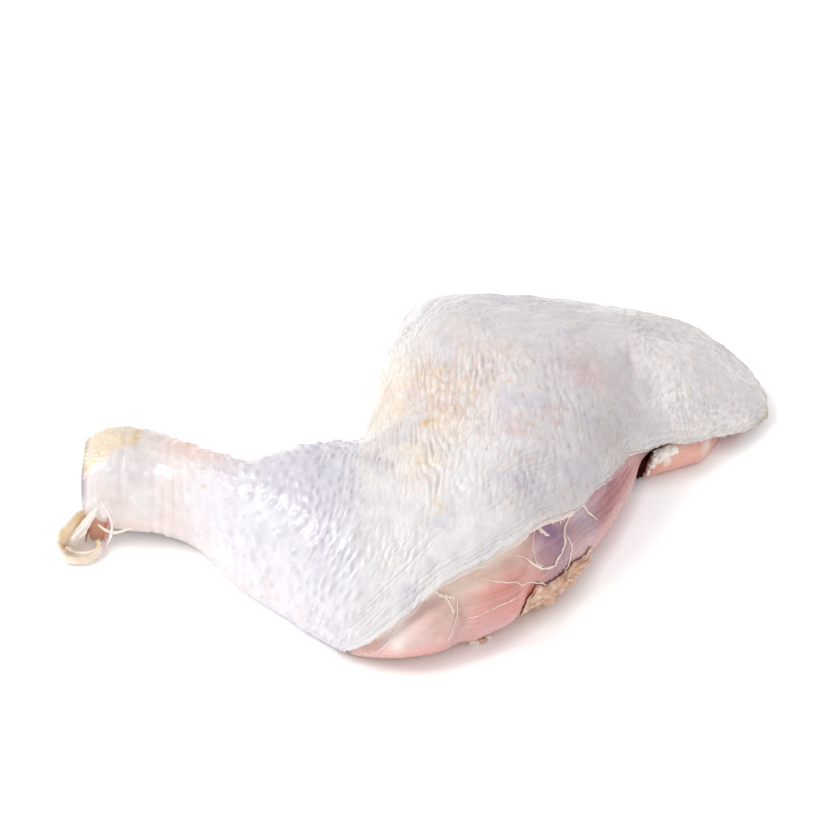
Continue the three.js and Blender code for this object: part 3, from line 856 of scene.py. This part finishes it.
def meat_tint(smooth, s, angle, fibres):
    """The tones of the muscles on the bare wall, painted shade in the deep gap by the lobe,
    and fat, membranes and blood on the rear.
    """
    place = plane(s + 0.12 * noise(smooth / 5, 54), angle + 3 * noise(smooth / 4, 55))
    rear = angle > 200
    tone = Paint(smooth, MEAT_PALE)
    for start, end, shade in ((7.45, 7.65, MEAT_ROSE), (8.75, 9.0, MEAT_MAUVE), (9.7, 10.3, MEAT_BAND)):
        tone.wash(ramp(start, end, place[..., 0]), shade)
    for at, reach, shade, strength in WALL_WASHES:
        tone.wash(near(place, at, reach), shade, strength)
    # Painted shade: the deep shadow in the gap under the skin by the lobe, laid on the meat as near-black.
    gap = ramp(11.35, 11.8, s) * (1 - ramp(12.9, 13.3, s)) * (angle < 150)
    tone.wash(gap, GAP_PAINTED_SHADE, 0.95)
    tone.wash(fibres, FIBRE_PALE, 0.22)
    tone.wash(rear * patches(smooth, 8, 0.1, 0.5, 56, 2), REAR_FAT, 0.8)
    tone.spot((46, 86, 9), (17, 12, 12), REAR_PINK, 0.85, rear)
    tone.wash(rear * patches(smooth, 6, 0.2, 0.5, 57, 2), MEAT_RED, 0.7)
    tone.spot((47, 88, 5), (3, 6, 6), JOINT_RED, 0.8, rear)
    return tone.color


def make_meat(finish):
    rows = np.concatenate([np.linspace(MEAT_FROM, 5.1, 24), even_rows(TUBE_END, MEAT_TO, 380, [70, 90, 110])])
    front, rear = skin_front(rows)[:, None], skin_rear(rows)[:, None]
    turn = np.minimum(rear + (front + 360 - rear) * 0.6, MEAT_TURN)
    v = np.concatenate([spread(front, rear, UNDER_SKIN), spread(rear, turn, UNDERSIDE),
                        spread(turn, front + 360, WALL)], 1)
    s = np.broadcast_to(rows[:, None], v.shape)
    smooth = inset(s, v, meat_depth(s, v))
    angle = np.where(v > 360, v - 360, v)
    bare = ramp(1, 8, np.minimum(v - rear, front + 360 - v)) * (v > rear)
    length = path_lengths(smooth, 0)
    fibres = ripples(angle * 0.45 + 0.06 * length, length, 1.2, 24, 51)
    relief = Relief(0.3 * fractal(smooth / 9, 2, 50) + 0.12 * noise(smooth / 3, 52))
    relief.add(1, fibres, -0.12)
    relief.add(near(plane(s, angle), (9.1, 92), (0.5, 16)), ripples(length, angle * 0.5, 2.0, 7, 53), -0.45)
    height = relief.height * bare * ramp(0.3, 3, smooth[..., 2])
    points = raised(smooth + normal(s, v) * height[..., None])

    grid = numbered(points)
    closed = rows < TUBE_END
    grid[np.ix_(closed, np.arange(UNDER_SKIN, v.shape[1]))] = grid[closed, :1]
    ring = np.concatenate([grid, grid[:, :1]], 1)
    faces = quads(ring).tolist() + [grid[0].tolist(), grid[-1, ::-1].tolist()]
    return mesh_from("meat_surface", points, faces, meat_tint(smooth, s, angle, fibres * bare), finish,
                     "meat", "meat")


# ---- strings of connective tissue ----

STRAND_SIDES = 8
ROUTE_POINTS = 14  # points of a string for each place that it is drawn through
CREAM = "fff0de"
WHITE = "faece6"
REAR_CREAM = "f6e2be"
SEAM_CREAM = "f4e4dc"

# On the wall: half width, half height, beads, tone, then station and angle of each point.
WALL_STRINGS = [
    (0.5, 0.3, 0, WHITE, [(7, 117), (6.85, 109), (6.6, 101), (6.5, 92), (6.3, 80)]),
    (0.28, 0.2, 0, WHITE, [(7.42, 112), (7.4, 106), (7.33, 98), (7.22, 90)]),
    (0.3, 0.22, 0, WHITE, [(7.8, 117), (8.1, 110), (8.4, 104), (8.7, 97), (8.95, 90), (9.05, 84)]),
    (0.28, 0.25, 0.6, WHITE, [(7.5, 98), (7.9, 101), (8.2, 101), (8.45, 100)]),
    (0.8, 0.5, 0.5, CREAM, [(7.12, 120), (7.25, 115), (7.4, 112)]),
    (0.5, 0.4, 0.3, CREAM, [(7.2, 116), (7.3, 111), (7.33, 105)]),
    (0.6, 0.45, 0.2, CREAM,
     [(9.6, 116), (9.57, 111), (9.42, 109), (9.36, 105), (9.26, 102), (9.12, 99), (8.95, 100), (8.78, 105),
      (8.6, 113), (8.45, 118)]),
    (0.35, 0.3, 0, CREAM, [(9.42, 108), (9.42, 101), (9.34, 94), (9.22, 88)]),
    (0.3, 0.25, 0, CREAM, [(8.98, 121), (8.82, 114), (8.8, 106), (8.95, 100)]),
    (0.7, 0.5, 0.6, CREAM, [(9, 121), (9.06, 117), (9.16, 113)]),
    (0.4, 0.3, 0.2, CREAM, [(9.2, 122), (9.24, 118), (9.3, 116)]),
    (0.45, 0.35, 0.3, WHITE, [(9.36, 120), (9.42, 116), (9.4, 113)]),
    (0.6, 0.45, 0.2, CREAM, [(9.82, 121), (9.86, 114), (9.95, 107), (10.06, 100)]),
]
# On the rear wall by the hip joint: half width, half height, tone, then station and angle of each point.
REAR_STRINGS = [
    (0.7, 0.5, "ce2c30", [(12, 262), (12.06, 276), (12, 290), (11.9, 304)]),
    (0.6, 0.4, "ecc4ce", [(12.2, 258), (12.16, 274), (12.24, 292)]),
    (0.5, 0.4, WHITE, [(11.7, 276), (11.84, 286), (11.9, 298)]),
    (0.8, 0.5, "cc302c", [(12.9, 288), (13.3, 294), (13.8, 290), (14.3, 284)]),
    (0.6, 0.5, WHITE, [(12.6, 290), (13.1, 302), (13.7, 300), (14.2, 296)]),
    (0.7, 0.5, "d66042", [(14.2, 276), (14.35, 290), (14.4, 306)]),
]
# At the ankle, within the curl: half width, half height, beads, tone, then the points.
ANKLE_STRINGS = [
    (0.45, 0.35, 0, WHITE,
     [(-91.4, -6.2, 18.4), (-89, -9.6, 16.8), (-88, -11, 13.6), (-89, -10.6, 8), (-91.2, -6.8, 1)]),
    (0.5, 0.4, 0, CREAM,
     [(-92.8, -7.4, 10.5), (-90, -8.4, 8.9), (-87.4, -8.2, 8), (-82.6, -7.8, 9.4)]),
    # A broad salmon-brown sheet on the curl's inner side: its own tone, darkened with painted shade.
    (2.8, 0.4, 0, CURL_INNER_BROWN_AND_SHADE,
     [(-91.8, -4.2, 13.6), (-92.6, -4.6, 9), (-93.4, -4.4, 4.6), (-93.9, -4.2, 0.9)]),
    (0.22, 0.2, 0, EDGE_RED, [(-94.6, -4.8, 12.2), (-95.6, -5.8, 8), (-96.6, -5.6, 4), (-97, -5.2, 1)]),
    (1.8, 1, 0, CURL_WHITE,
     [(-93.8, -4.6, 13.8), (-96.2, -5.8, 9.6), (-99, -7.6, 7.4), (-101.6, -8.2, 4), (-102, -9, 1.4)]),
    (0.8, 0.7, 0, WHITE,
     [(-92.4, -5, 15.2), (-94.6, -6.4, 12), (-97.4, -7.8, 9), (-100.4, -9.6, 6.6)]),
    (0.7, 0.45, 0, CREAM,
     [(-102.4, -10.6, 4.4), (-99.6, -10.8, 2.4), (-95.6, -11, 2.2), (-92.8, -9, 2.6), (-93, -6.6, 4)]),
    (0.4, 0.3, 0, MEAT_SALMON, [(-89.6, -6.2, 12.4), (-90.2, -5.6, 8), (-91.4, -4.6, 4), (-91.6, -4.4, 1)]),
]
ANKLE_FACING = (0.1, -0.8, 0.6)  # the way the flat side of the ankle's strings faces


def strand(points, normals, width, height, beads, seed):
    """Rings round a line of points: a flattened cord, thin at its ends."""
    count = len(points)
    t = np.linspace(0, 1, count)
    ahead = unit(np.gradient(points, axis=0))
    across = unit(np.cross(ahead, normals))
    upward = unit(np.cross(across, ahead))
    swell = np.sin(np.pi * np.clip(t, 0.02, 0.98)) ** 0.35
    swell *= 1 + 0.3 * along(t * count / 9, 1, seed) + beads * along(t * count / 3, 1, seed + 1)
    turn = around(STRAND_SIDES)[None, :, None]
    ring = across[:, None] * np.cos(turn) * width + upward[:, None] * (np.sin(turn) * height)
    return points[:, None] + ring * np.clip(swell, 0.2, 2)[:, None, None]


def route(places):
    """A smooth line through some places."""
    return through(places, np.linspace(0, len(places) - 1, ROUTE_POINTS * len(places)))


def rear_fat():
    """A thick ragged edge of fat under the skin's cut edge on the hip's rear."""
    s = np.linspace(10.4, 14.6, 300)
    v = skin_rear(s) + 3 + 2 * along(s * 2.5, 3, 72)
    return strand(inset(s, v, meat_depth(s, v) - 0.4), normal(s, v), 1.5, 1.0, 0.25, 59)


def edge_fascia():
    """A thin ragged membrane in the seam between the skin's cut edge and the meat."""
    s = np.linspace(5.6, 11.5, 420)
    v = cut_edge(s) - 1.4 + 0.9 * along(s * 3, 3, 69)
    return strand(wall_point(s, v, -0.1), normal(s, v), 1.0, 0.7, 0, 58)


def make_strings(finish):
    strands = []
    for k, (width, height, beads, shade, places) in enumerate(WALL_STRINGS):
        s, v = route(places).T
        v = v + 1.2 * along(np.arange(len(s)) / 8, 2, 70 + k)
        rings = strand(wall_point(s, v, 0.15), normal(s, v), 0.6 * width, 0.8 * height, beads, 60 + k)
        strands.append((rings, shade))
    for k, (width, height, beads, shade, places) in enumerate(ANKLE_STRINGS):
        strands.append((strand(route(places), ANKLE_FACING, width, height, beads, 80 + k), shade))
    for k, (width, height, shade, places) in enumerate(REAR_STRINGS):
        s, v = route(places).T
        rings = strand(inset(s, v, meat_depth(s, v) - 0.2), normal(s, v), width, height, 0.4, 90 + k)
        strands.append((rings, shade))
    strands += [(rear_fat(), REAR_CREAM), (edge_fascia(), SEAM_CREAM)]
    tubes = [(rings, np.broadcast_to(srgb(shade), rings.shape)) for rings, shade in strands]
    return mesh_of_tubes("tissue_strings", tubes, finish, "fat")


# ---- lobe, fat, cartilage and bone ends ----

# The lobe below the skin's right-hand edge: front x, y, rear x, y, height.
LOBE = np.array([
    [70.2, 25, 71, 27.5, 4],
    [72.4, 24, 75, 33, 10],
    [77, 25.6, 81, 37, 12.5],
    [82.4, 28, 86, 40, 10.8],
    [87.3, 30.6, 91, 43, 7.6],
    [90.6, 35, 94, 45, 4.6],
    [92.6, 38.8, 94.4, 42.4, 2.4],
])
LOBE_PINK = "eeb2a0"
LOBE_ORANGE = "d6784a"
FAT_WHITE = "fff8f0"
FAT_BEIGE = "e0b092"
FAT_BROWN = "be7e60"
CARTILAGE_WHITE = "e8e0e6"
BONE_BROWN = "ce9e8e"
LOBE_FIBRE = "eeccbe"
LOBE_TAN = "e2b8a6"
KNUCKLE_GREY = "dad0dc"
KNUCKLE_CREAM = "e8e2d8"
KNUCKLE_RED = "be847a"
KNUCKLE_TAN = "cc9878"
KNUCKLE_WHITE = "faf6f6"
NECK_RED = "c43234"


def make_lobe(finish):
    rings, sides, blunt = 90, 72, 0.75
    table = through(LOBE, np.linspace(0, len(LOBE) - 1, rings))
    front, rear = table[:, None, :2], table[:, None, 2:4]
    turn = -around(sides)
    plan = (front + rear) / 2 + (rear - front) / 2 * signed_power(np.cos(turn), blunt)[None, :, None]
    half = table[:, 4:5] / 2
    z = half + half * signed_power(np.sin(turn), blunt)[None]
    smooth = np.concatenate([plan, z[..., None]], -1)
    away = unit(smooth - smooth.mean(1, keepdims=True))
    length = smooth[..., 0] * 0.9 + smooth[..., 1] * 0.4
    fibres = ripples(smooth[..., 2] + 0.2 * smooth[..., 1], length, 1.3, 20, 91)
    points = raised(smooth + away * (0.4 * fractal(smooth / 5, 2, 90) - 0.12 * fibres)[..., None])
    tone = Paint(smooth, LOBE_PINK)
    tone.wash(fibres, LOBE_FIBRE, 0.35)
    tone.wash(patches(smooth, 4, 0.1, 0.5, 92), LOBE_TAN, 0.5)
    tone.spot((71.5, 24.5, 4), (1.6, 3, 5), LOBE_ORANGE, 0.8)
    tone.spot((90.5, 34.5, 5), (1.6, 2.4, 2.4), FAT_WHITE, 0.8)
    tone.wash(patches(smooth, 1.6, 0.45, 0.7, 93) * (smooth[..., 0] < 80), FAT_WHITE, 0.6)
    return mesh_of_tubes("hip_lobe_meat", [(points, tone.color)], finish, "meat", "hip_lobe")


# Lumps of fat: centre, half sizes, tone.
FAT_LUMPS = [
    ((77.6, 25, 11.6), (2.8, 1.4, 1.8), FAT_WHITE),
    ((75.2, 24.2, 10.8), (2.4, 1.3, 2), FAT_WHITE),
    ((73.9, 24, 8.9), (1.8, 1.2, 1.8), FAT_WHITE),
    ((76.4, 24.4, 9), (1.7, 0.9, 1.2), FAT_WHITE),
    ((72.6, 24.2, 6.2), (1.2, 0.9, 1.3), FAT_WHITE),
    ((71.6, 24, 3.4), (0.7, 0.6, 1.6), FAT_WHITE),
    ((17.6, -46.9, 0.9), (1.7, 1, 0.9), FAT_WHITE),
    ((19.6, -46.2, 0.8), (1.6, 0.8, 0.8), FAT_BEIGE),
    ((21.6, -44.9, 0.8), (1.1, 0.8, 0.7), FAT_WHITE),
]
# Dark lumps between the thigh and the lobe: painted shade that stands in for the deep shadow in that gap.
GAP_SHADE_LUMPS = [
    ((69.2, 29.5, 4.5), (3.6, 4.6, 5.4), GAP_PAINTED_SHADE),
    ((68.6, 26.4, 2), (1.8, 2.2, 2), GAP_PAINTED_SHADE),
]


def ball(detail):
    turn = around(2 * detail)[None]
    rise = np.linspace(-np.pi / 2, np.pi / 2, detail + 1)[:, None]
    return plane(np.cos(rise) * np.cos(turn), np.cos(rise) * np.sin(turn), np.sin(rise))


def make_lumps(name, table, dapple, finish, slot):
    """Knobbly lumps, each with its own tone and patches of another."""
    shape = ball(20)
    tubes = []
    for k, (centre, radii, shade) in enumerate(table):
        lump = shape * (1 + 0.35 * fractal(shape * 2.2 + 5 * k, 3, 100))[..., None]
        lump = raised(np.array(centre) + lump * np.array(radii), 0.02)
        tone = Paint(lump, shade)
        tone.wash(patches(lump, 1.2, 0.1, 0.5, 101), dapple, 0.25)
        tubes.append((lump, tone.color))
    return mesh_of_tubes(name, tubes, finish, slot)


# Stations and angles of the strip's edges, its thickness, and how far its base stands off the wall.
FAT_STRIP = {"from": 8.45, "to": 9.75, "low": 62, "high": 92, "thick": 2.1, "base": 0.4}


def make_fat_strip(finish):
    i, j = np.linspace(0, 1, 151)[:, None], np.linspace(0, 1, 41)[None]

    def ragged(name, amount, t, seed):
        return FAT_STRIP[name] + amount * along(6 * t, 3, seed)

    s = mix(ragged("from", 0.16, j, 114), ragged("to", 0.3, j, 115), i)
    v = mix(ragged("low", 3, i, 116), ragged("high", 7, i, 117), j)
    base = wall_point(s, v, FAT_STRIP["base"])
    swell = (np.sin(i * np.pi) * np.sin(j * np.pi)) ** 0.6
    lumps = 1 + 0.9 * fractal(base / 2.2, 3, 110) + 0.4 * noise(base / 1.1, 113)
    outer = raised(wall_point(s, v, FAT_STRIP["base"] + FAT_STRIP["thick"] * swell * lumps), 0.1)
    base = raised(base, 0.1)
    tone = Paint(outer, FAT_BEIGE)
    tone.wash(patches(base, 2.2, 0.0, 0.45, 111, 2), FAT_WHITE, 0.6)
    tone.wash(1 - ramp(64, 74, v), FAT_BROWN, 0.5)
    tone.wash(1 - patches(base, 1.8, -0.45, 0.0, 112, 2), FAT_BROWN, 0.7)
    grid = numbered(outer)
    border = np.concatenate([grid[0, :-1], grid[:-1, -1], grid[-1, :0:-1], grid[:0:-1, 0]])
    turned = np.roll(border, -1)
    faces = quads(grid).tolist() + (quads(grid)[:, ::-1] + grid.size).tolist()
    faces += plane(border, turned, turned + grid.size, border + grid.size).tolist()
    return mesh_from("fat_strip_lumps", np.stack([outer, base]), faces, np.stack([tone.color, tone.color]),
                     finish, "fat", "fat_strip")


# Stations of the plug's inner and outer end, the rise of its face and the depth of the groove in it.
KNUCKLE = {"inner": 1.06, "outer": 0.3, "dome": 4.6, "groove": 2.2}


def make_knuckle(finish):
    """The end of the shank bone in the mouth of the skin's tube: a plug whose face has two rounded heads."""
    sides, rings = 96, 30
    angles = 360 * np.arange(sides) / sides

    def section(s):
        return inset(np.full(sides, s), angles, MEAT_DEPTH)

    mouth = section(KNUCKLE["outer"])
    centre = mouth.mean(0)
    outward = unit((centre - section(KNUCKLE["inner"]).mean(0)) * (1, 1, 0))
    across = np.array([-outward[1], outward[0], 0])
    half = np.abs((mouth - centre) @ across).max()
    points = []
    for turn in np.radians(np.linspace(88, 0, rings)):
        q = centre + (mouth - centre) * math.cos(turn)
        dip = KNUCKLE["groove"] * math.sin(turn) * fade((q - centre) @ across / half, 0.22)
        points.append(q + outward * (KNUCKLE["dome"] * math.sin(turn) - dip)[:, None])
    points += [section(mix(KNUCKLE["outer"], KNUCKLE["inner"], t)) for t in (0.35, 0.7, 1)]
    points = np.array(points)
    points += 0.25 * fractal(points / 3, 2, 120)[..., None] * outward
    u, rise = (points - centre) @ across / half, (points[..., 2] - centre[2]) / half
    rim = ramp(0.72, 0.95, np.hypot(u, rise) + 0.1 * noise(points / 3, 121))
    tone = Paint(points, KNUCKLE_GREY)
    tone.wash(near(plane(np.abs(u), rise), (0.42, 0.1), (0.3, 0.42)), KNUCKLE_CREAM, 0.9)
    tone.wash(rim, MAUVE, 0.8)
    tone.wash(fade(u, 0.13) * patches(points, 2, -0.6, 0.2, 122), KNUCKLE_RED, 0.8)
    tone.wash(ramp(0.35, 0.75, -rise + 0.2 * noise(points / 3, 123)), KNUCKLE_TAN, 0.8)
    tone.spot((-95.5, -3, 23), (3, 2.4, 2), KNUCKLE_WHITE, 0.9)
    return mesh_of_tubes("ankle_cartilage", [(points, tone.color)], finish, "cartilage", "ankle_knuckle")


# The two bone ends of the cut hip and the neck between them: centre, half sizes.
BONE_ENDS = np.array([
    [51.5, 84, 7, 5, 5, 4.8],
    [42, 83.5, 10, 4.6, 5, 5.4],
    [47, 83.4, 8.4, 5, 5, 3.8],
])


def make_bone_ends(finish):
    """The outermost of the three balls in each direction from the neck, as one smooth body."""
    out = ball(60)
    centre = BONE_ENDS[2, :3]
    reach = np.zeros(out.shape[:2])
    for row in BONE_ENDS:
        shift, radii = (centre - row[:3]) / row[3:], row[3:]
        ray = out / radii
        a, b, c = (ray**2).sum(-1), (ray * shift).sum(-1), (shift**2).sum() - 1
        root = b * b - a * c
        far = np.where(root > 0, (-b + np.sqrt(np.maximum(root, 0))) / a, 0)
        reach = np.maximum(reach, far)
    points = centre + out * (reach + 0.15 * fractal(out * 4, 2, 130))[..., None]
    tone = Paint(points, BONE_BROWN)
    tone.wash(ramp(10, 13, points[..., 2]) * (points[..., 0] < 46), MAUVE, 0.9)
    tone.spot((47, 88.4, 8.6), (1.6, 3, 4), NECK_RED, 0.9)
    tone.wash(patches(points, 2.5, 0.35, 0.6, 131), CARTILAGE_WHITE, 0.5)
    return mesh_of_tubes("hip_bone_ends_wet", [(points, tone.color)], finish, "bone_end", "hip_bone_ends")


# ---- floor, light and camera ----

FLOOR_DROP = 0.05 * MM  # keeps the floor clear of the part's flat underside
SHADOW_REACH = 7 * MM
KEY_PLACE = (-1.2, -0.1, 1.4)
CAMERA_TARGET = np.array([-2.35, 41.55, 0.0])
CAMERA_AWAY = 966.8
CAMERA_RISE = 40


def make_floor():
    """A pale floor that glows faintly, except close to the part, where its shadow stays."""
    bpy.ops.mesh.primitive_plane_add(size=6, location=(0, 0, -FLOOR_DROP))
    floor = bpy.context.object
    floor.name = "floor"
    material, tree, shader = new_material("floor_finish")
    openness = add(tree, "AmbientOcclusion", Distance=SHADOW_REACH)
    openness.samples = 2
    glow = add(tree, "MapRange", Value=openness.outputs["AO"], From_Min=0.35, From_Max=0.85, To_Max=0.4)
    feed(shader, Base_Color=(0.93, 0.93, 0.93, 1), Roughness=0.9, Specular_IOR_Level=0.1,
         Emission_Color=(1, 1, 1, 1), Emission_Strength=glow.outputs["Result"])
    floor.data.materials.append(material)


def make_light():
    world = bpy.data.worlds.new("studio")
    bpy.context.scene.world = world
    world.use_nodes = True
    feed(world.node_tree.nodes["Background"], Color=(0.98, 0.99, 1, 1), Strength=0.63)
    key = bpy.data.lights.new("key", "AREA")
    key.shape = "DISK"
    key.size = 1.0
    key.energy = 19
    lamp = put("key", key)
    lamp.location = KEY_PLACE
    lamp.rotation_euler = (-Vector(KEY_PLACE)).to_track_quat("-Z", "Y").to_euler()


def make_camera():
    camera = bpy.data.cameras.new("camera")
    camera.lens = 135
    camera.sensor_width = 36
    camera.clip_start = 0.05
    camera.clip_end = 20
    eye = put("camera", camera)
    rise = math.radians(CAMERA_RISE)
    back = np.array([0, -math.cos(rise), math.sin(rise)])
    eye.location = Vector((CAMERA_TARGET + back * CAMERA_AWAY) * MM)
    eye.rotation_euler = Vector(back).to_track_quat("Z", "Y").to_euler()
    bpy.context.scene.camera = eye


# ---- build ----

# Roughness, subsurface, coat, scale and depth in mm of the grain, and shine, where it isn't the usual one.
FINISHES = {
    "skin": (0.34, 0.1, 0.35, 1500, 0.09),
    "meat": (0.26, 0.1, 0.45, 1500, 0.04),
    "fat": (0.3, 0.0, 0.4, 1500, 0.06),
    "cartilage": (0.2, 0.3, 0.5, 900, 0.03),
    # the dull finish of the dark lumps of painted shade in the gap by the lobe
    "gap": (0.6, 0.0, 0.0, 1500, 0.05, 0.08),
    "bone": (0.22, 0.3, 0.5, 900, 0.04),
}
finish = {name: fleshy(name + "_finish", *values) for name, values in FINISHES.items()}
make_skin(finish["skin"])
make_curl(finish["skin"])
make_meat(finish["meat"])
make_lobe(finish["meat"])
make_fat_strip(finish["fat"])
make_lumps("fat_lumps", FAT_LUMPS, LOBE_PINK, finish["fat"], "fat")
# Dark lumps of painted shade for the gap between the thigh and the lobe.
make_lumps("gap_shade_lumps", GAP_SHADE_LUMPS, GAP_PAINTED_SHADE, finish["gap"], "meat")
make_strings(finish["fat"])
make_knuckle(finish["cartilage"])
make_bone_ends(finish["bone"])
make_floor()
make_light()
make_camera()
bpy.context.scene.view_settings.view_transform = "Standard"
